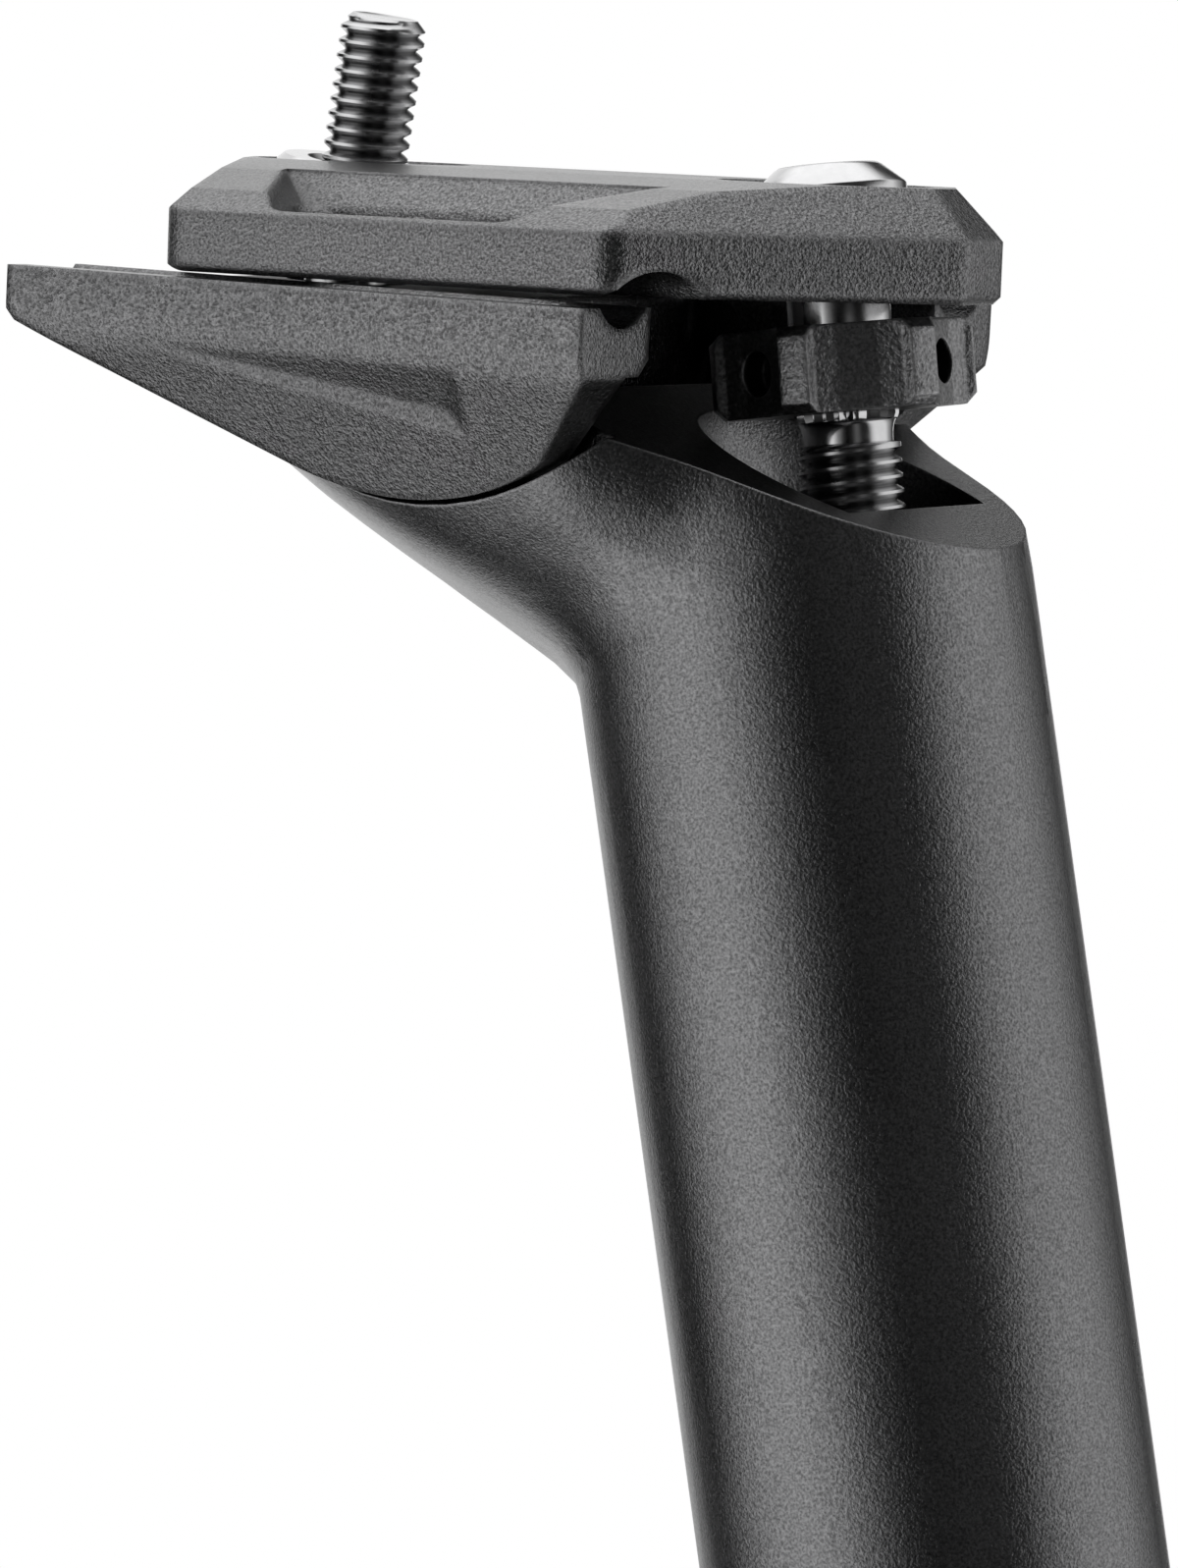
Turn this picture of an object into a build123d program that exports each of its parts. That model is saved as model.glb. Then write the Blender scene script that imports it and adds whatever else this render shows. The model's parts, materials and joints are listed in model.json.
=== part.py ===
# Bicycle seatpost with a two-bolt saddle clamp.
# Millimetres and degrees. The tube stands on the origin and runs up +Z. +X is the front of the bicycle.
import math
import os
from build123d import *

os.makedirs("parts", exist_ok=True)

far = 60.0  # reach of a cutter that must clear the whole head
over = 5.0  # cutters run past a face by this much

# Tube
tube_d = 30.9
tube_wall = 2.3
post_length = 350.0  # lower end of the tube to the middle of the rail clamp
bore_stop = 42.3  # end of the tube bore below the clamp middle
tube_chamfer = 0.5

# Clamp position
setback = 13.47  # clamp middle behind the tube axis
clamp_pitch = 12.7  # clamp plane leans nose down by this much
pivot_rise = 7.9  # tilt axis above the clamp middle
seat_r = 21.9  # round underside of the cradle
seat_gap = 0.35
nose_up = 4.5  # tilt limits
nose_down = 4.5

# Head of the post
head_half = 21.6
head_top_drop = 12.0  # full width is reached this far below the clamp middle
flare_height = 21.2
flare_power = 1.4
neck_lead = 6.0  # the loft starts this far below the end of the tube, and its unsettled start is cut off
tip_x = -50.13  # rear tip line at clamp height and its run per millimetre of drop
tip_run = 1.154
crease_x = -33.47  # crease line between side and underside
crease_run = 0.93
shoulder_x = -2.5
shoulder_angle = 40.0
head_front = 10.0  # the blended outline stays inside the tube at the front
corner_power = 9
neck_blend = 4.2  # hollow between tube and head
section_step = 3.5
section_points = 34
head_inset = 0.1  # the head starts this far inside the tube, so that the two join on a clean ring
least_reach = 0.3  # keeps the outline of the head open where it lies inside the tube
ear_half = 13.0
ear_gap = 0.4
ear_rear = -27.7  # rear end of the ear along the clamp
rim_drop = 12.74  # slanted rim below the clamp middle at the tube axis
rim_slope = 31.5
rim_rear = -8.0  # the slanted rim ends here and the seat begins

# Pocket for the thumbwheel
pocket_r = 9.9
pocket_x = 5.5
pocket_drop = 18.69  # pocket floor below the clamp middle

# Front screw, measured along its own axis from the pocket floor
screw_x = 4.84
screw_lean = 4.1
screw_r = 3.45
screw_play = 0.5
screw_tail = -14.0
screw_point = 0.8  # chamfer of the lower end
thread_top = 5.0
neck_r = 2.95
collar_r = 3.9
collar_low = 6.0
neck_step = 0.35
wheel_low = 7.0
wheel_h = 5.7
wheel_r = 8.7
wheel_lobes = 6
lobe_w = 2.0
valley_step = 0.5  # short wall beside a lobe
valley_fall = 0.4
valley_depth = 1.6
valley_flat = 2.7
wheel_chamfer = 0.7
tommy_d = 3.0
tommy_depth = 3.2
wheel_turn = -21.7  # angle of one lobe from the front
head_low = 19.6
head_rim = 2.25
head_cone = 1.45
head_r = 5.1
head_flat_r = 2.5
socket_af = 4.0
socket_depth = 2.4
washer_ball_r = 7.0
washer_play = 0.25
washer_gap = 0.1
washer_bore_play = 0.15
shank_play = 0.35

# Lower cradle, outline along the clamp and up from its middle
cradle_half = 26.45
cradle_top = -0.5
cradle_tail = -28.6
cradle_front = 16.8
tail_low = -4.15
tail_corner = -28.0
tail_h = 2.9
front_low = -4.9
front_foot = 11.7  # where the slanted front edge meets the round underside
lug_w = 8.0
lug_round = 1.1  # flat across the lower inner corner of a lug
flank_w = 5.4  # flank below the lug at the front, and at its foot
foot_in = 18.4
foot_out = 20.5
flank_gap = 0.3
body_front = -2.7  # middle body ends here and leaves room for the wheel
web_rear = -26.2
web_low = -4.0
web_top = -1.2
groove_y = 21.75
groove_r = 3.6
low_groove = 1.33
recess_top = -4.4  # lip above the recess in each flank
recess_tail = -21.5
recess_bend = 7.7
recess_tip = 10.9
recess_drop = 5.1  # the slanted front edge falls by this much to its tip
recess_in = 3.4  # depth under the tip
recess_draft = 38.0
recess_round = 4.0
flank_bend = 6.0  # round between the lip and the slanted flank

# Upper clamp, measured in its own plane
plate_low = 0.0
plate_shift = 0.5
plate_cock = 0.8  # leans this much more nose up than the cradle
nose_u = 30.25
nose_half = 2.3
side_u = 17.1
side_half = 25.2
side_h = 4.1
brow_half = 22.7
brow_h = 5.5
spine_half = 16.0
spine_h = 6.8
crown_half = 8.0
crown_h = 7.4
edge_taper = 44.0
high_groove = 1.73
corner_r = 2.2
nose_r = 1.0
under_chamfer = 0.5
window_out = 24.9
window_in = 14.6
window_len_out = 22.0
window_len_in = 30.0
window_slope = 2.2  # sloped upper part of the walls
window_draft = 20.0
window_r = 1.6

# Rear bolt, measured along its own axis from the clamp plane
rear_u = -19.25
rear_splay = 6.8
rear_r = 2.95
rear_play = 0.45
rear_top = 17.2
rear_head_low = -12.0
rear_head_h = 3.0
rear_head_r = 5.0
rear_head_play = 0.5
rear_seat_play = 0.45
rear_socket_af = 4.0
rear_socket_depth = 2.0
rear_chamfer = 0.4
rear_point = 0.6
rear_swing = 0.8
nut_r = 6.0
nut_low = 3.3
nut_h = 3.75
nut_shift = 1.2
nut_play = 0.3
nut_bore_play = 0.6
nut_seat_play = 0.1
nut_chamfer = 0.5
nut_lead = 0.4

tube_r = tube_d / 2
clamp_frame = Location((-setback, 0, post_length), (0, clamp_pitch, 0))
screw_frame = Location((screw_x, 0, post_length - pocket_drop), (0, screw_lean, 0))
rear_frame = clamp_frame * Location((rear_u, 0, 0), (0, rear_splay, 0))
plate_frame = clamp_frame * Location((plate_shift, 0, plate_low), (0, -plate_cock, 0))


def slab(rear, front, half):
    # tall block between two places along X
    return Pos((rear + front) / 2, 0, 0) * Box(front - rear, 2 * half, 2 * far)


def side_sheet(points):
    return make_face(Plane.XZ * Polyline(*points, close=True))


def across(sheet, half):
    return extrude(sheet, half, both=True)


def turned(points):
    return revolve(make_face(Plane.XZ * Polyline(*points, close=True)), Axis.Z)


def tangent_foot(px, pz, cz, r):
    # point where the line from (px, pz) touches the underside of the circle about (0, cz)
    away = math.hypot(px, pz - cz)
    base = math.atan2(pz - cz, px)
    swing = math.acos(r / away)
    return r * math.cos(base + swing), cz + r * math.sin(base + swing)


def flank_sheet(grow, top):
    # side outline of the cradle, grown downwards by the clearance
    r = seat_r + grow
    tx, tz = tangent_foot(tail_corner, tail_low - grow, pivot_rise, r)
    foot_z = pivot_rise - math.sqrt(r * r - front_foot * front_foot)
    low = Line((tail_corner, tail_low - grow), (tx, tz))
    belly = ThreePointArc((tx, tz), (0, pivot_rise - r), (front_foot, foot_z))
    front = [(front_foot, foot_z), (cradle_front, front_low - grow), (cradle_front, top)]
    tail = [(cradle_tail, top), (cradle_tail, cradle_top - tail_h), (tail_corner, tail_low - grow)]
    rest = Polyline(*front, *tail)
    return make_face(Plane.XZ * (Curve() + [low, belly, rest]))


def web_sheet(grow, rear, top):
    # middle of the cradle between the flanks, grown downwards by the clearance
    r = seat_r + grow
    low = web_low - grow
    drop = pivot_rise - low
    wx = -math.sqrt(r * r - drop * drop)
    mx = (wx + body_front) / 2
    belly = ThreePointArc((wx, low), (mx, pivot_rise - math.sqrt(r * r - mx * mx)),
                          (body_front, pivot_rise - math.sqrt(r * r - body_front * body_front)))
    rest = Polyline(belly @ 1, (body_front, top), (rear, top), (rear, low), (wx, low))
    return make_face(Plane.XZ * (Curve() + [belly, rest]))


def tilted(shape, angle):
    # turns a shape in the clamp frame about the tilt axis
    return Location((0, 0, pivot_rise)) * Rotation(0, angle, 0) * Location((0, 0, -pivot_rise)) * shape


def head_section(z):
    # one level of the head: the tube circle blended with a rounded outline that grows upwards
    drop = post_length - z
    short = max(0.0, drop - head_top_drop)
    half = max(least_reach, head_half * (1 - (short / flare_height) ** flare_power))
    tip = min(tip_x + tip_run * drop, -2 * least_reach)
    crease = min(crease_x + crease_run * drop, -least_reach)
    crease = max(crease, tip + least_reach)
    lines = [(90.0, half), (0.0, head_front)]
    a = math.radians(shoulder_angle)
    lines.append((shoulder_angle, max(least_reach, shoulder_x * math.cos(a) + half * math.sin(a))))
    run = math.hypot(half, crease - tip)
    lines.append((math.degrees(math.atan2(crease - tip, -half)), -tip * half / run))
    core = tube_r - head_inset
    points = []
    for i in range(section_points):
        phi = 2 * math.pi * i / section_points
        total = 0.0
        for angle, away in lines:
            for side in (1, -1):
                lean = math.cos(phi - side * math.radians(angle))
                total += (max(0.0, lean) / away) ** corner_power
        reach = total ** (-1 / corner_power)
        near = max(0.0, 1 - abs(core - reach) / neck_blend)
        r = max(core, reach) + neck_blend * near * near / 4
        points.append((r * math.cos(phi), r * math.sin(phi)))
    return make_face(Pos(0, 0, z) * Spline(*points, periodic=True))


def slot_along(frame, r, reach, low, high):
    # straight slot along the X axis of a frame, cut from low to high on its Z axis
    sheet = SlotCenterToCenter(2 * reach, 2 * r) if reach > 0 else Circle(r)
    return frame * extrude(Pos(0, 0, low) * sheet, high - low)


def make_post():
    join = post_length - head_top_drop - flare_height
    low = join - neck_lead
    high = post_length + over
    count = math.ceil((high - low) / section_step)
    head = loft([head_section(low + (high - low) * i / count) for i in range(count + 1)])
    head = split(head, bisect_by=Plane.XY.offset(join), keep=Keep.TOP)
    tube = Pos(0, 0, join / 2) * Cylinder(tube_r, join)
    tube = chamfer(tube.edges().sort_by(Axis.Z)[0], tube_chamfer)
    body = tube + head
    wide = cradle_half + over
    # round seat, open to the front under the flanks
    seat = clamp_frame * Pos(0, 0, pivot_rise) * Rotation(90, 0, 0) * Cylinder(seat_r + seat_gap, 2 * wide)
    middle = Pos(0, 0, post_length) * slab(rim_rear, far, foot_in - flank_gap)
    body -= seat - middle
    # room for the wings beside the ear and for the web above it, also at the nose-up limit
    hall = slab(-far, far, ear_half)
    wing = across(flank_sheet(seat_gap, far), wide) - hall
    wing += slab(-far, tail_corner + 2, wide) - hall
    wing -= slab(0, far, foot_in - flank_gap)
    web = across(web_sheet(seat_gap, -far, far), ear_half + ear_gap)
    for angle in (0, -nose_up):
        body -= clamp_frame * tilted(wing, angle)
        body -= clamp_frame * tilted(web, angle)
    body -= clamp_frame * slab(-far - over, ear_rear, wide)
    # slanted rim
    rise = math.tan(math.radians(rim_slope))
    rim_z = post_length - rim_drop
    sky = rim_z + 2 * far
    rim = [(-far, rim_z + far * rise), (far, rim_z - far * rise), (far, sky), (-far, sky)]
    body -= across(side_sheet(rim), wide)
    # pocket with its threaded hole
    floor_z = post_length - pocket_drop
    body -= Pos(pocket_x, 0, floor_z + far / 2) * Cylinder(pocket_r, far)
    body -= slot_along(screw_frame, screw_r + screw_play, 0, pocket_drop - bore_stop - over, over)
    # rear bolt hole and the counterbore for its head
    seat_z = rear_head_low + rear_head_h + rear_seat_play
    body -= slot_along(rear_frame, rear_r + rear_play, 0, -far, over)
    body -= slot_along(rear_frame, rear_head_r + rear_head_play, 0, -far, seat_z)
    # tube bore
    bore_r = tube_r - tube_wall
    top = post_length - bore_stop
    body -= turned([(0, -over), (bore_r, -over), (bore_r, top - bore_r / 2), (bore_r / 2, top), (0, top)])
    return body


def rail_cutter(side, height):
    # round groove for one saddle rail
    return Pos(0, side * groove_y, height) * Rotation(0, 90, 0) * Cylinder(groove_r, 2 * far)


def recess_wedge():
    # space outside three planes: the lip, the slanted front edge and the floor
    lean = math.radians(recess_draft)
    run = recess_tip - recess_bend
    edge = math.hypot(run, recess_drop)
    lip = (0, math.cos(lean), math.sin(lean))
    front = (recess_drop / edge * math.sin(lean), math.cos(lean), run / edge * math.sin(lean))
    floor = (-recess_in / (recess_tip - recess_tail), 1, 0)
    start = (recess_tail, -cradle_half, recess_top)
    body = Pos(0, -cradle_half, 0) * Box(2 * far, far / 2, 2 * far)
    tip = (recess_tip, -cradle_half, recess_top - recess_drop)
    for origin, out in ((start, lip), (tip, front), (start, floor)):
        body = split(body, bisect_by=Plane(origin, z_dir=out), keep=Keep.BOTTOM)
    bend = Vector(*lip).cross(Vector(*front))
    return fillet(body.edges().filter_by(Axis((0, 0, 0), bend)), recess_round)


def make_cradle():
    inner = cradle_half - lug_w
    body = across(flank_sheet(0, cradle_top), cradle_half) - slab(-far, far, inner)
    body += across(web_sheet(0, web_rear, web_top), inner)
    flank = cradle_half - flank_w
    foot_z = pivot_rise - seat_r
    # flanks slope in towards their foot
    side = [(cradle_half, over), (cradle_half, recess_top), (foot_out, foot_z - seat_gap)]
    profile = make_face(Plane.YZ * Polyline(*side, *[(-y, z) for y, z in reversed(side)], close=True))
    profile = fillet(profile.vertices().filter_by(lambda v: abs(v.Z - recess_top) < 0.01), flank_bend)
    body = body & extrude(profile, far, both=True)
    # open front for the wheel, with the lugs standing inside the flanks at the top
    half = [(0, over), (inner, over), (inner, front_low + lug_round), (inner + lug_round, front_low),
            (flank, front_low), (foot_in, foot_z), (foot_in, -far), (0, -far)]
    gap = make_face(Plane.YZ * Polyline(*half, close=True))
    gap = Pos(body_front, 0, 0) * extrude(gap, far, dir=(1, 0, 0))
    body -= gap
    body -= mirror(gap, Plane.XZ)
    for side in (1, -1):
        body -= rail_cutter(side, cradle_top - low_groove + groove_r)
    # recess under the lip of each flank: its floor leaves the flank at the tail and at the tip
    cut = recess_wedge()
    body -= cut
    body -= mirror(cut, Plane.XZ)
    # slot for the rear bolt
    travel = (pivot_rise - web_low) * math.sin(math.radians(nose_down))
    body -= slot_along(Location((rear_u, 0, 0), (0, rear_splay, 0)), rear_r + rear_play, travel, -far, far)
    return clamp_frame * body


def window(side):
    # opening in the upper clamp: walls slope in at the top and then run down with a slight draft
    out_y = side * (window_out + window_slope)
    top = make_face(Polyline((-window_len_out / 2, out_y), (window_len_out / 2, out_y),
                             (window_len_in / 2, side * window_in), (-window_len_in / 2, side * window_in),
                             close=True))
    low = fillet(offset(top, -window_slope, kind=Kind.INTERSECTION).vertices(), window_r)
    body = extrude(Pos(0, 0, spine_h) * top, window_slope, dir=(0, 0, -1), taper=45)
    body += extrude(Pos(0, 0, spine_h) * top, over, dir=(0, 0, 1))
    shaft = Pos(0, 0, spine_h - window_slope) * low
    return body + extrude(shaft, spine_h, dir=(0, 0, -1), taper=window_draft)


def make_plate():
    right = [(nose_u, -nose_half), (nose_u, nose_half), (side_u, side_half)]
    left = [(-x, y) for x, y in reversed(right)]
    outline = make_face(Polyline(*right, *left, (-side_u, -side_half), (side_u, -side_half), close=True))
    body = extrude(outline, side_h) + extrude(Pos(0, 0, side_h) * outline, crown_h - side_h, taper=edge_taper)
    corners = outline.vertices().group_by(lambda v: round(abs(v.Y), 3))
    plan = fillet(corners[1], corner_r)
    plan = fillet(plan.vertices().filter_by(lambda v: abs(v.Y) < side_half / 2), nose_r)
    plan = extrude(plan, crown_h)
    plan = chamfer(plan.edges().group_by(Axis.Z)[0], under_chamfer)
    half = [(side_half, -over), (side_half, side_h), (brow_half, brow_h), (spine_half, spine_h),
            (crown_half, crown_h)]
    roof = Plane.YZ * Polyline(*half, *[(-y, z) for y, z in reversed(half)], close=True)
    body = body & plan & extrude(make_face(roof), far, both=True)
    for side in (1, -1):
        body -= rail_cutter(side, high_groove - groove_r)
        body -= window(side)
    body = plate_frame * body
    # ball seat of the front washer and the slot for the shank
    centre = screw_frame * Pos(0, 0, head_low + head_rim + head_cone)
    body -= centre * Sphere(washer_ball_r + washer_play)
    swing = (head_low + head_rim + head_cone - wheel_low - wheel_h) * math.sin(math.radians(nose_down))
    body -= slot_along(screw_frame, screw_r + shank_play, swing, -far, far)
    # recess of the rear nut and the slot for the bolt
    body -= slot_along(rear_frame, nut_r + nut_play, nut_shift, nut_low - nut_seat_play, far)
    body -= slot_along(rear_frame, rear_r + rear_play, nut_shift + rear_swing, -far, far)
    return body


def make_front_bolt():
    top = head_low + head_rim + head_cone
    thread = [(0, screw_tail), (screw_r - screw_point, screw_tail), (screw_r, screw_tail + screw_point)]
    neck = [(screw_r, thread_top), (neck_r, thread_top + neck_step), (neck_r, collar_low - neck_step)]
    shank = [(collar_r, collar_low), (collar_r, wheel_low), (screw_r, wheel_low), (screw_r, head_low)]
    head = [(head_r, head_low), (head_r, head_low + head_rim), (head_flat_r, top), (0, top)]
    body = turned(thread + neck + shank + head)
    socket = RegularPolygon(socket_af / 2, 6, major_radius=False)
    body -= extrude(Pos(0, 0, top - socket_depth) * socket, socket_depth + over)
    return screw_frame * body


def make_washer():
    depth = head_rim + head_cone
    centre = head_low + depth
    body = Pos(0, 0, centre) * Sphere(washer_ball_r)
    body -= Pos(0, 0, head_low - washer_gap + far / 2) * Cylinder(far, far)
    body -= Pos(0, 0, centre) * Cylinder(screw_r + washer_bore_play, far)
    return screw_frame * body


def make_wheel():
    body = Pos(0, 0, wheel_low + wheel_h / 2) * Cylinder(wheel_r, wheel_h)
    body = chamfer(body.edges(), wheel_chamfer)
    pitch = 360 / wheel_lobes
    # valley between two lobes: short walls, two sloped facets and a flat bottom
    open_angle = math.radians(pitch / 2) - math.asin(lobe_w / 2 / wheel_r)
    mouth_x, mouth_y = wheel_r * math.cos(open_angle), wheel_r * math.sin(open_angle)
    floor_x = wheel_r - valley_depth
    foot_x, foot_y = floor_x + valley_fall, mouth_y - valley_step
    rim = [(mouth_x + over, mouth_y + over), (mouth_x, mouth_y), (foot_x, foot_y), (floor_x, valley_flat / 2)]
    groove = make_face(Polyline(*rim, *[(x, -y) for x, y in reversed(rim)], close=True))
    cutter = extrude(Pos(0, 0, wheel_low - over) * groove, wheel_h + 2 * over)
    for i in range(wheel_lobes):
        body -= Rotation(0, 0, wheel_turn + (i + 0.5) * pitch) * cutter
    for i in range(0, wheel_lobes, 2):
        hole = Rotation(0, 90, 0) * Cylinder(tommy_d / 2, 2 * tommy_depth)
        hole = Pos(wheel_r, 0, wheel_low + wheel_h / 2) * hole
        body -= Rotation(0, 0, wheel_turn + (i + 0.5) * pitch) * hole
    body -= Pos(0, 0, wheel_low) * Cylinder(screw_r, far)
    return screw_frame * body


def make_rear_bolt():
    top = rear_head_low + rear_head_h
    edge = rear_head_r - rear_chamfer
    head = [(0, rear_head_low), (edge, rear_head_low), (rear_head_r, rear_head_low + rear_chamfer)]
    seat = [(rear_head_r, top - rear_chamfer), (rear_r + rear_point, top), (rear_r, top)]
    shank = [(rear_r, rear_top - rear_point), (rear_r - rear_point, rear_top), (0, rear_top)]
    body = turned(head + seat + shank)
    socket = RegularPolygon(rear_socket_af / 2, 6, major_radius=False)
    body -= extrude(Pos(0, 0, rear_head_low - over) * socket, rear_socket_depth + over)
    return rear_frame * body


def make_nut():
    top = nut_low + nut_h
    hole = rear_r + nut_bore_play
    outside = [(hole, nut_low), (nut_r, nut_low), (nut_r, top - nut_chamfer), (nut_r - nut_chamfer, top)]
    body = turned(outside + [(hole + nut_lead, top), (hole, top - nut_lead)])
    return rear_frame * body


nodes = {
    "post": make_post,
    "lower_cradle": make_cradle,
    "upper_clamp": make_plate,
    "front_bolt": make_front_bolt,
    "front_washer": make_washer,
    "thumbwheel": make_wheel,
    "rear_bolt": make_rear_bolt,
    "rear_nut": make_nut,
}
for name, make in nodes.items():
    shape = make()
    print(name, round(shape.volume, 1), len(shape.solids()))
    export_step(shape, "parts/" + name + ".step")
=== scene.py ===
import json
import math

import bmesh
import bpy
from mathutils import Matrix, Vector


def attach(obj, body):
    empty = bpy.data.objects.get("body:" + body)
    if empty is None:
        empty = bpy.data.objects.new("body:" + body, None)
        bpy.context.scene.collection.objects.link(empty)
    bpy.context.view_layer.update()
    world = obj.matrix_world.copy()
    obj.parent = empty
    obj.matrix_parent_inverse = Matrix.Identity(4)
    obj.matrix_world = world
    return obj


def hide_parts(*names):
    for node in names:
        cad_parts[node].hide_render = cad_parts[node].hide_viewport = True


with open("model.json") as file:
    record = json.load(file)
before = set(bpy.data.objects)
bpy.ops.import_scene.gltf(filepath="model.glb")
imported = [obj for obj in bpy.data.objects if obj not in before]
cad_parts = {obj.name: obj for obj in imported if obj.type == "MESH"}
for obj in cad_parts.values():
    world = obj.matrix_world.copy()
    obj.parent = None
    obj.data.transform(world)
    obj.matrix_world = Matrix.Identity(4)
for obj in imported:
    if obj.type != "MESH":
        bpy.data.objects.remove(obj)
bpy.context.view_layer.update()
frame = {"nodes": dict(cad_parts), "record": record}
nodes = frame["nodes"]
joints = {joint["name"]: joint for joint in frame["record"]["behaviour"]["joints"]}
print("frame loaded,", len(nodes), "nodes")


# small helpers for shader trees

def newTree(name):
    mat = bpy.data.materials.new(name)
    mat.use_nodes = True
    tree = mat.node_tree
    return mat, tree, tree.nodes["Principled BSDF"]


def addNode(tree, kind, **settings):
    node = tree.nodes.new(kind)
    for key, value in settings.items():
        if key in node.inputs:
            node.inputs[key].default_value = value
        else:
            setattr(node, key, value)
    return node


def addNoise(tree, place, scale, detail, rough):
    node = addNode(tree, "ShaderNodeTexNoise", Scale=scale, Detail=detail, Roughness=rough)
    tree.links.new(place, node.inputs["Vector"])
    return node.outputs["Fac"]


def spread(tree, value, low, high, toLow, toHigh, kind="LINEAR"):
    node = addNode(tree, "ShaderNodeMapRange", interpolation_type=kind)
    for key, number in (("From Min", low), ("From Max", high), ("To Min", toLow), ("To Max", toHigh)):
        node.inputs[key].default_value = number
    tree.links.new(value, node.inputs["Value"])
    return node.outputs["Result"]


def shades(tree, value, dark, light, low, high):
    ramp = addNode(tree, "ShaderNodeValToRGB")
    for element, place, colour in zip(ramp.color_ramp.elements, (low, high), (dark, light)):
        element.position = place
        element.color = (*colour, 1)
    tree.links.new(value, ramp.inputs["Fac"])
    return ramp.outputs["Color"]


def mixed(tree, share, first, second):
    node = addNode(tree, "ShaderNodeMix", data_type="RGBA")
    tree.links.new(share, node.inputs[0])
    tree.links.new(first, node.inputs[6])
    if isinstance(second, tuple):
        node.inputs[7].default_value = (*second, 1)
    else:
        tree.links.new(second, node.inputs[7])
    return node.outputs[2]


def dimmed(colour, share):
    return tuple(c * share for c in colour)


anodise = {"cloudScale": 60.0,  # slow change of the anodise over centimetres
           "wornShade": 2.2, "wornFrom": (0.99, 0.85),  # edges rubbed brighter
           "deepShade": 0.2, "deepFrom": (0.93, 0.5)}  # painted shade: hollows held darker


def blastedAnodise(name, finish):
    mat, tree, skin = newTree(name)
    place = addNode(tree, "ShaderNodeTexCoord").outputs["Object"]
    grain = addNoise(tree, place, finish["grainScale"], 2.0, 0.55)
    peel = addNoise(tree, place, finish["peelScale"], 3.0, 0.5)
    cloud = addNoise(tree, place, anodise["cloudScale"], 2.0, 0.5)

    softEdge = addNode(tree, "ShaderNodeBevel", samples=6, Radius=finish["edgeRound"])
    facing = addNode(tree, "ShaderNodeVectorMath", operation="DOT_PRODUCT")
    tree.links.new(softEdge.outputs["Normal"], facing.inputs[0])
    tree.links.new(addNode(tree, "ShaderNodeNewGeometry").outputs["Normal"], facing.inputs[1])
    wear = spread(tree, facing.outputs["Value"], *anodise["wornFrom"], 0.0, finish["edgeWear"])

    colour = shades(tree, grain, dimmed(finish["colour"], finish["pitShade"]), finish["colour"], 0.32, 0.68)
    colour = mixed(tree, wear, colour, dimmed(finish["colour"], anodise["wornShade"]))
    # painted shade: ambient occlusion darkens the base colour in hollows and creases
    cavity = addNode(tree, "ShaderNodeAmbientOcclusion", samples=6, only_local=True, Distance=finish["cavity"])
    paintedHollowShade = spread(tree, cavity.outputs["AO"], *anodise["deepFrom"], 0.0, 1.0)
    colour = mixed(tree, paintedHollowShade, colour, dimmed(finish["colour"], anodise["deepShade"]))
    tree.links.new(colour, skin.inputs["Base Color"])
    low, high = finish["roughness"]
    tree.links.new(spread(tree, cloud, 0.3, 0.7, low, high), skin.inputs["Roughness"])
    skin.inputs["Metallic"].default_value = 1.0

    wide = addNode(tree, "ShaderNodeBump", Strength=finish["peelBump"], Distance=finish["peelDepth"])
    tree.links.new(peel, wide.inputs["Height"])
    tree.links.new(softEdge.outputs["Normal"], wide.inputs["Normal"])
    fine = addNode(tree, "ShaderNodeBump", Strength=finish["grainBump"], Distance=finish["grainDepth"])
    tree.links.new(grain, fine.inputs["Height"])
    tree.links.new(wide.outputs["Normal"], fine.inputs["Normal"])
    tree.links.new(fine.outputs["Normal"], skin.inputs["Normal"])
    return mat


turned = {"smearShade": 0.86, "scratchDepth": 0.00001,
          "rootFrom": (0.52, 0.46)}  # pointiness from the flanks of a thread to its roots


def turnedSteel(name, finish):
    mat, tree, skin = newTree(name)
    place = addNode(tree, "ShaderNodeTexCoord").outputs["Object"]
    smear = addNoise(tree, place, finish["smearScale"], 3.0, 0.6)
    scratch = addNoise(tree, place, finish["scratchScale"], 2.0, 0.5)
    colour = shades(tree, smear, dimmed(finish["colour"], turned["smearShade"]), finish["colour"], 0.2, 0.8)
    if finish["rootDirtAndShade"] < 1.0:  # painted shade and dirt darken the roots of a thread, and the crests keep the bright steel
        hollow = addNode(tree, "ShaderNodeNewGeometry").outputs["Pointiness"]
        colour = mixed(tree, spread(tree, hollow, *turned["rootFrom"], 0.0, 1.0), colour,
                       dimmed(finish["colour"], finish["rootDirtAndShade"]))
    tree.links.new(colour, skin.inputs["Base Color"])
    low, high = finish["roughness"]
    tree.links.new(spread(tree, smear, 0.3, 0.7, low, high), skin.inputs["Roughness"])
    skin.inputs["Metallic"].default_value = 1.0
    bump = addNode(tree, "ShaderNodeBump", Strength=finish["scratchBump"], Distance=turned["scratchDepth"])
    tree.links.new(scratch, bump.inputs["Height"])
    tree.links.new(bump.outputs["Normal"], skin.inputs["Normal"])
    return mat


def paint(name, mat):
    obj = nodes[name]
    obj.data.materials.clear()
    obj.data.materials.append(mat)


# blasted black anodise on post, clamp and wheel

# cavity is how far the painted shade in hollows reaches
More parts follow.
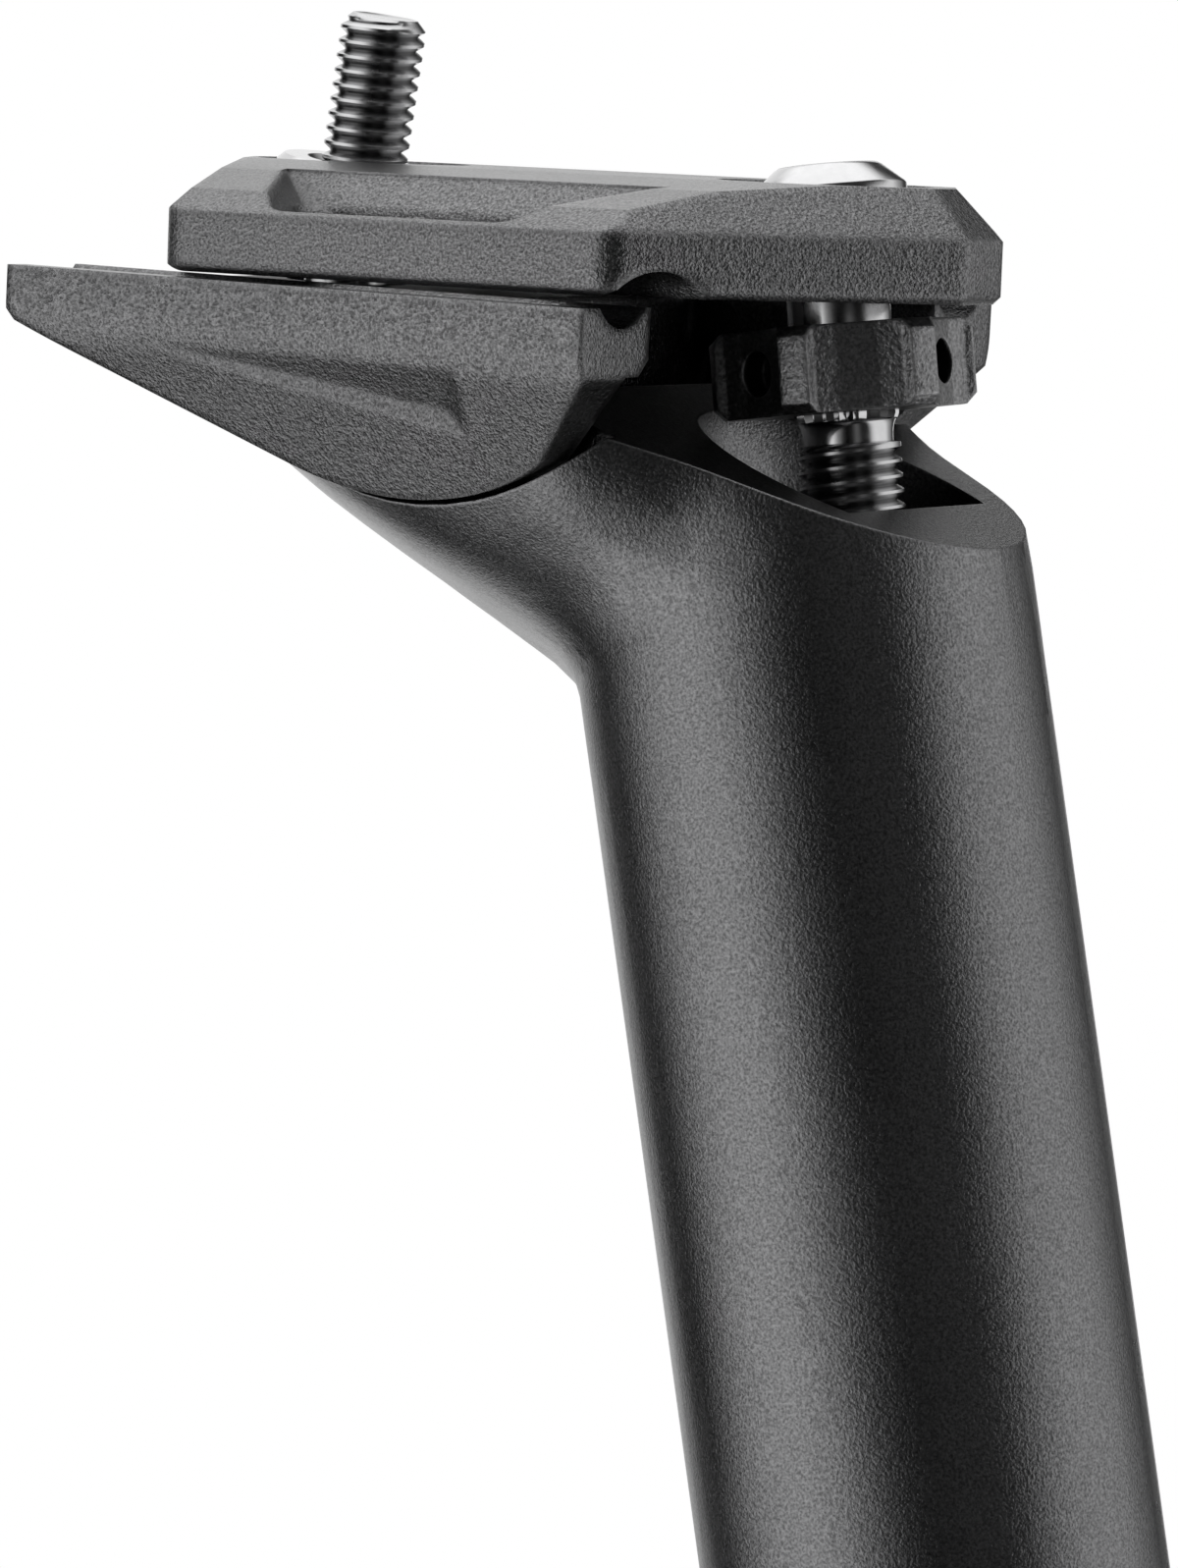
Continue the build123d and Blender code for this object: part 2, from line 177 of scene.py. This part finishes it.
postFinish = {"colour": (0.25, 0.25, 0.254), "pitShade": 0.4, "roughness": (0.27, 0.33),
              "edgeRound": 0.0003, "edgeWear": 0.25, "cavity": 0.004,
              "grainScale": 5000.0, "grainBump": 0.9, "grainDepth": 0.00005,
              "peelScale": 1500.0, "peelBump": 0.3, "peelDepth": 0.00006}
clampFinish = {"colour": (0.25, 0.25, 0.254), "pitShade": 0.3, "roughness": (0.24, 0.32),
               "edgeRound": 0.0010, "edgeWear": 0.2, "cavity": 0.004,
               "grainScale": 5200.0, "grainBump": 1.0, "grainDepth": 0.00008,
               "peelScale": 2200.0, "peelBump": 0.6, "peelDepth": 0.00010}
wheelFinish = {"colour": (0.30, 0.30, 0.304), "pitShade": 0.45, "roughness": (0.34, 0.42),
               "edgeRound": 0.0004, "edgeWear": 0.45, "cavity": 0.003,
               "grainScale": 3900.0, "grainBump": 0.8, "grainDepth": 0.00008,
               "peelScale": 1500.0, "peelBump": 0.7, "peelDepth": 0.00012}
postMat = blastedAnodise("postAnodise", postFinish)
paint("post", postMat)
clampMat = blastedAnodise("clampAnodise", clampFinish)
paint("lower_cradle", clampMat)
paint("upper_clamp", clampMat)
paint("thumbwheel", blastedAnodise("wheelAnodise", wheelFinish))

# polished nut and washer

steelFinish = {"colour": (0.64, 0.64, 0.645), "roughness": (0.12, 0.20), "smearScale": 900.0,
               "scratchScale": 6000.0, "scratchBump": 0.15, "rootDirtAndShade": 1.0}
# thread steel: painted shade and dirt darken the roots of its thread
threadFinish = dict(steelFinish, roughness=(0.18, 0.28), colour=(0.58, 0.58, 0.585), rootDirtAndShade=0.4)
steelMat = turnedSteel("polishedSteel", steelFinish)
threadMat = turnedSteel("threadSteel", threadFinish)
paint("front_washer", steelMat)
paint("rear_nut", steelMat)
print("finishes set")


# post on a copy of its mesh, with the waves where its neck starts laid back onto the tube

postSkin = {"tubeRadius": 0.01545, "wall": 0.0013, "low": 0.3101, "roundTo": 0.3178, "high": 0.327,
            "wallSlope": 0.5}  # a corner that looks up more than this is on the rim, and keeps its shading
skin = nodes["post"].data.copy()
laid = {}
for vertex in skin.vertices:
    x, y, z = vertex.co
    radius = math.hypot(x, y)
    outside = radius > postSkin["tubeRadius"] - postSkin["wall"]
    if outside and postSkin["low"] < z < postSkin["high"]:
        if z < postSkin["roundTo"] or radius < postSkin["tubeRadius"]:
            laid[vertex.index] = Vector((x / radius, y / radius, 0))
shading = [corner.vector.copy() for corner in skin.corner_normals]
for loop in skin.loops:
    onTube = skin.vertices[loop.vertex_index].co.z < postSkin["roundTo"]
    if loop.vertex_index in laid and (onTube or abs(shading[loop.index].z) < postSkin["wallSlope"]):
        shading[loop.index] = laid[loop.vertex_index]
for index, outward in laid.items():
    skin.vertices[index].co = outward * postSkin["tubeRadius"] + Vector((0, 0, skin.vertices[index].co.z))
skin.normals_split_custom_set(shading)
postPiece = bpy.data.objects.new("postShell", skin)
bpy.context.scene.collection.objects.link(postPiece)
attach(postPiece, "post")
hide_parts("post")
print("post laid smooth,", len(laid), "points")


# turned bolts with their threads cut, in millimetres along each bolt's own axis

sides = 48  # columns round a bolt: two to a crown tooth, eight to a socket flat
boltMesh = {"weld": 0.0005, "sharpFrom": 38}  # millimetres, degrees
toothForm = ((0.0, 0.0), (0.12, 0.1), (0.30, 0.6), (0.46, 1.0), (0.66, 1.0), (0.82, 0.6))  # share of pitch, height


def boltFrame(joint, along):
    along = Vector(along).normalized()
    across = Vector((0, 1, 0))
    place = Matrix((across.cross(along), across, along)).transposed().to_4x4()
    place.translation = joint["pos_m"]
    return place


def hexagon(acrossFlats):
    def reach(angle):
        return acrossFlats / 2 / math.cos((angle + math.pi / 6) % (math.pi / 3) - math.pi / 6)
    return reach


def serrated(inner, outer):
    def reach(angle):
        return outer if round(angle * sides / math.tau) % 2 else inner
    return reach


def addRings(mesh, rows):
    rings = []
    for height, reach in rows:
        ring = []
        for i in range(sides):
            angle = math.tau * i / sides
            radius = reach(angle) if callable(reach) else reach
            ring.append(mesh.verts.new((radius * math.cos(angle), radius * math.sin(angle), height)))
        rings.append(ring)
    for lower, upper in zip(rings, rings[1:]):
        for i in range(sides):
            k = (i + 1) % sides
            mesh.faces.new((lower[i], lower[k], upper[k], upper[i]))
    return rings


def addThread(mesh, low, high, thread):
    turns = math.ceil((high - low) / thread["pitch"]) + 2
    rows = [(turn + share, rise) for turn in range(turns) for share, rise in toothForm]
    columns = []
    for i in range(sides):
        angle = math.tau * i / sides
        column = []
        for along, rise in rows:
            height = low + (along - 1 + i / sides) * thread["pitch"]
            height = min(max(height, low), high)
            fade = min(1.0, (height - low) / thread["fadeLow"], (high - height) / thread["fadeHigh"])
            radius = thread["crest"] - thread["depth"] * (1 - rise) * fade
            radius = min(radius, thread["crest"] - thread["pointLow"] + height - low,
                         thread["crest"] - thread["pointHigh"] + high - height)
            column.append(mesh.verts.new((radius * math.cos(angle), radius * math.sin(angle), height)))
        columns.append(column)
    for i in range(sides):
        shift = len(toothForm) if i == sides - 1 else 0  # the helix climbs one pitch at the seam
        here, beside = columns[i], columns[(i + 1) % sides]
        for j in range(len(rows) - 1 - shift):
            face = mesh.faces.new((here[j], beside[j + shift], beside[j + 1 + shift], here[j + 1]))
            face.material_index = 1


def boltPiece(name, mesh, place, body, node):
    bmesh.ops.remove_doubles(mesh, verts=mesh.verts, dist=boltMesh["weld"])
    mesh.transform(place @ Matrix.Scale(0.001, 4))
    data = bpy.data.meshes.new(name)
    mesh.to_mesh(data)
    mesh.free()
    data.shade_smooth()
    data.set_sharp_from_angle(angle=math.radians(boltMesh["sharpFrom"]))
    data.materials.append(steelMat)
    data.materials.append(threadMat)
    obj = bpy.data.objects.new(name, data)
    bpy.context.scene.collection.objects.link(obj)
    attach(obj, body)
    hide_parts(node)


# rear bolt, measured from the seat under its head

rearBolt = {"headRadius": 5.0, "headHeight": 3.0, "headChamfer": 0.35, "socket": 4.0, "socketDepth": 2.0,
            "shank": 2.95, "threadStart": 9.0, "top": 26.2, "cupDepth": 0.12, "cupRim": 0.35}
rearThread = {"crest": 2.95, "depth": 0.52, "pitch": 1.0, "fadeLow": 1.2, "fadeHigh": 1e-6,
              "pointLow": 0.0, "pointHigh": 0.7}
acrossBolt = joints["nut_shift"]["axis"]
rearPlace = boltFrame(joints["rear_bolt_rock"], (-acrossBolt[2], 0, acrossBolt[0]))
mesh = bmesh.new()
head = -rearBolt["headHeight"]
socket = hexagon(rearBolt["socket"])
rings = addRings(mesh, (
    (head + rearBolt["socketDepth"], socket), (head, socket),
    (head, rearBolt["headRadius"] - rearBolt["headChamfer"]),
    (head + rearBolt["headChamfer"], rearBolt["headRadius"]),
    (0.0, rearBolt["headRadius"]), (0.0, rearBolt["shank"]), (rearBolt["threadStart"], rearBolt["shank"])))
mesh.faces.new(rings[0][::-1])
addThread(mesh, rearBolt["threadStart"], rearBolt["top"], rearThread)
tip = rearThread["crest"] - rearThread["pointHigh"]
cup = addRings(mesh, ((rearBolt["top"], tip), (rearBolt["top"] - rearBolt["cupDepth"], tip - rearBolt["cupRim"])))
mesh.faces.new(cup[1])
boltPiece("rearBolt", mesh, rearPlace, "rear_screw", "rear_bolt")

# front bolt, measured down from the crown of its head

frontBolt = {"top": 0.0, "flat": 3.3, "brow": 3.6, "browDrop": 0.18, "rim": 5.1, "rimDrop": 1.35, "headDepth": 3.7,
             "socket": 4.0, "socketDepth": 2.4, "shank": 3.45, "wheelSeat": -16.3, "crownHeight": 0.55,
             "crownInner": 3.12, "crownOuter": 3.5, "flare": 3.38, "waist": 2.98, "waistHeight": -18.15,
             "threadTop": -18.45, "tail": -37.3, "cupDepth": 0.12, "cupRim": 0.4, "runOut": 0.1, "crownLean": 0.3,
             "seatGap": 0.02, "seatStep": 0.3, "rimRound": 0.15, "rimStep": 0.1, "mouth": 0.3, "mouthDepth": 0.15}
frontThread = {"crest": 3.45, "depth": 0.50, "pitch": 1.0, "fadeLow": 1e-6, "fadeHigh": 0.35,
               "pointLow": 0.8, "pointHigh": 0.0}
frontPlace = boltFrame(joints["thumbwheel_spin"], joints["thumbwheel_spin"]["axis"])
mesh = bmesh.new()
end = frontThread["crest"] - frontThread["pointLow"]
cup = addRings(mesh, (
    (frontBolt["tail"] + frontBolt["cupDepth"], end - frontBolt["cupRim"]), (frontBolt["tail"], end)))
mesh.faces.new(cup[0][::-1])
addThread(mesh, frontBolt["tail"], frontBolt["threadTop"], frontThread)
crownLow = frontBolt["wheelSeat"] - frontBolt["crownHeight"]
flareSteps = [i / 6 for i in range(7)]  # the neck widens as a quarter of an ellipse
neck = [(frontBolt["waistHeight"] + (crownLow - frontBolt["waistHeight"]) * math.sin(step * math.pi / 2),
         frontBolt["flare"] - (frontBolt["flare"] - frontBolt["waist"]) * math.cos(step * math.pi / 2))
        for step in flareSteps]
crown = serrated(frontBolt["crownInner"], frontBolt["crownOuter"])
seat = frontBolt["wheelSeat"] - frontBolt["seatGap"]
rings = addRings(mesh, (
    (frontBolt["threadTop"], frontThread["crest"]),
    (frontBolt["threadTop"] + frontBolt["runOut"], frontBolt["waist"]), *neck,
    (crownLow, serrated(frontBolt["crownInner"], frontBolt["flare"])),
    (crownLow + frontBolt["crownLean"], crown), (seat, crown), (seat, frontBolt["shank"] - frontBolt["seatStep"]),
    (frontBolt["wheelSeat"] + frontBolt["seatStep"], frontBolt["shank"]),
    (-frontBolt["headDepth"], frontBolt["shank"]),
    (-frontBolt["headDepth"], frontBolt["rim"] - frontBolt["rimRound"]),
    (-frontBolt["headDepth"] + frontBolt["rimRound"], frontBolt["rim"]),
    (-frontBolt["rimDrop"] - frontBolt["rimRound"], frontBolt["rim"]),
    (-frontBolt["rimDrop"], frontBolt["rim"] - frontBolt["rimStep"]),
    (-frontBolt["browDrop"], frontBolt["brow"]), (frontBolt["top"], frontBolt["flat"]),
    (frontBolt["top"], hexagon(frontBolt["socket"] + frontBolt["mouth"])),
    (frontBolt["top"] - frontBolt["mouthDepth"], hexagon(frontBolt["socket"])),
    (frontBolt["top"] - frontBolt["socketDepth"], hexagon(frontBolt["socket"]))))
mesh.faces.new(rings[-1])
boltPiece("frontBolt", mesh, frontPlace, "front_screw", "front_bolt")
print("bolts turned")

# stand, backdrop and light

studio = {"floorSize": 1.1, "floorSeen": 0.86, "floorGlow": 0.30, "fadeFrom": 0.25, "fadeTo": 0.9,
          "towards": (0.5397, -0.8418), "beside": (0.8418, 0.5397),  # from the object to the camera, and to its right
          "belowLight": 0.10, "gapLight": 0.03, "topLight": 1.5,
          "frontFrom": (-0.35, 0.0), "gapFrom": (0.30, 0.44), "topFrom": (0.60, 0.84), "belowFrom": (-0.84, -0.97),
          "paperFrom": -0.95}  # how far round behind the object polished metal sees the paper

floorMesh = bpy.data.meshes.new("floor")
turns = [math.tau * i / 96 for i in range(96)]
ring = [(studio["floorSize"] * math.cos(angle), studio["floorSize"] * math.sin(angle), 0) for angle in turns]
floorMesh.from_pydata(ring, [], [list(range(len(ring)))])
floor = bpy.data.objects.new("floor", floorMesh)
bpy.context.scene.collection.objects.link(floor)
floorMat, paper, floorSkin = newTree("floorPaper")
floorSkin.inputs["Roughness"].default_value = 0.9
sight = addNode(paper, "ShaderNodeLightPath").outputs["Is Camera Ray"]
paper.links.new(spread(paper, sight, 0, 1, studio["floorGlow"], studio["floorSeen"]), floorSkin.inputs["Base Color"])
reach = addNode(paper, "ShaderNodeVectorMath", operation="LENGTH")
paper.links.new(addNode(paper, "ShaderNodeTexCoord").outputs["Object"], reach.inputs[0])
far = spread(paper, reach.outputs["Value"], studio["fadeFrom"], studio["fadeTo"], 0, 1, "SMOOTHSTEP")
share = addNode(paper, "ShaderNodeMath", operation="MULTIPLY")
paper.links.new(far, share.inputs[0])
paper.links.new(sight, share.inputs[1])
blend = addNode(paper, "ShaderNodeMixShader")  # the paper runs out into the white backdrop
paper.links.new(share.outputs[0], blend.inputs["Fac"])
paper.links.new(floorSkin.outputs["BSDF"], blend.inputs[1])
paper.links.new(addNode(paper, "ShaderNodeEmission").outputs["Emission"], blend.inputs[2])
paper.links.new(blend.outputs["Shader"], paper.nodes["Material Output"].inputs["Surface"])
floorMesh.materials.append(floorMat)
floor.visible_glossy = False

world = bpy.data.worlds.new("studio")
bpy.context.scene.world = world
world.use_nodes = True
sky = world.node_tree
sky.nodes.clear()


def skyMath(operation, a, b=None, c=None):
    node = addNode(sky, "ShaderNodeMath", operation=operation)
    for i, value in enumerate((a, b, c)):
        if value is None:
            continue
        if isinstance(value, (int, float)):
            node.inputs[i].default_value = value
        else:
            sky.links.new(value, node.inputs[i])
    return node.outputs[0]


def skyMix(share, first, second):
    rest = skyMath("SUBTRACT", 1.0, share)
    return skyMath("ADD", skyMath("MULTIPLY", first, rest), skyMath("MULTIPLY", share, second))


way = addNode(sky, "ShaderNodeSeparateXYZ")
sky.links.new(addNode(sky, "ShaderNodeTexCoord").outputs["Generated"], way.inputs[0])
fx, fy = studio["towards"]
bx, by = studio["beside"]
ahead = skyMath("ADD", skyMath("MULTIPLY", way.outputs["X"], fx), skyMath("MULTIPLY", way.outputs["Y"], fy))
aside = skyMath("ADD", skyMath("MULTIPLY", way.outputs["X"], bx), skyMath("MULTIPLY", way.outputs["Y"], by))
turn = skyMath("MULTIPLY_ADD", skyMath("ARCTAN2", aside, ahead), 1 / math.tau, 0.5)  # 0.5 is the camera side

panels = addNode(sky, "ShaderNodeValToRGB")  # soft boxes left and right, dark behind the camera, white paper behind
stops = ((-180, 1.0), (-154, 1.0), (-143, 0.02), (-110, 0.02), (-96, 0.95), (-82, 1.25), (-56, 1.35), (-42, 1.05),
         (-30, 0.32), (-16, 0.04), (-6, 0.0), (8, 0.02), (20, 0.14), (34, 0.02), (52, 0.02), (64, 0.8), (74, 1.05),
         (110, 1.0), (124, 0.5), (146, 0.05), (162, 0.05), (172, 1.0))
ramp = panels.color_ramp
while len(ramp.elements) < len(stops):
    ramp.elements.new(0.5)
for element, (angle, level) in zip(ramp.elements, stops):
    element.position = angle / 360 + 0.5
    element.color = (level, level, level, 1)
sky.links.new(turn, panels.inputs["Fac"])
height = way.outputs["Z"]
front = spread(sky, ahead, *studio["frontFrom"], 0, 1, "SMOOTHSTEP")
above = spread(sky, height, *studio["gapFrom"], 0, 1, "SMOOTHSTEP")
boxTop = skyMath("MULTIPLY", front, above)  # dark gap above the boxes
overhead = spread(sky, height, *studio["topFrom"], 0, 1, "SMOOTHSTEP")
below = spread(sky, height, *studio["belowFrom"], 0, 1, "SMOOTHSTEP")
room = skyMix(boxTop, panels.outputs["Color"], studio["gapLight"])
room = skyMix(below, skyMix(overhead, room, studio["topLight"]), studio["belowLight"])

rays = addNode(sky, "ShaderNodeLightPath")
behind = skyMath("LESS_THAN", ahead, studio["paperFrom"])
seen = skyMath("MAXIMUM", rays.outputs["Is Camera Ray"], rays.outputs["Is Transmission Ray"])
seen = skyMath("MAXIMUM", seen, skyMath("MULTIPLY", rays.outputs["Is Glossy Ray"], behind))
dome = addNode(sky, "ShaderNodeBackground")
sky.links.new(skyMix(seen, room, 1.0), dome.inputs["Color"])
sky.links.new(dome.outputs["Background"], addNode(sky, "ShaderNodeOutputWorld").inputs["Surface"])
print("studio set")

# camera at the photograph's place

shot = {"place": (0.223597, -0.377649, 0.314139), "right": (0.83361391, 0.5353715, -0.13588675),
        "up": (0.11709687, 0.0691314, 0.99071145), "focusPixels": 6734.52, "imageHeight": 1597,
        "sensorHeight": 36.0, "farClip": 50.0}
camData = bpy.data.cameras.new("camera")
camData.sensor_fit = "VERTICAL"
camData.sensor_height = shot["sensorHeight"]
camData.lens = shot["focusPixels"] / shot["imageHeight"] * shot["sensorHeight"]
camData.clip_end = shot["farClip"]
cam = bpy.data.objects.new("camera", camData)
bpy.context.scene.collection.objects.link(cam)
right, up = Vector(shot["right"]), Vector(shot["up"])
pose = Matrix((right, up, right.cross(up))).transposed().to_4x4()
pose.translation = shot["place"]
cam.matrix_world = pose
bpy.context.scene.camera = cam
bpy.context.scene.view_settings.view_transform = "Standard"
print("camera set")
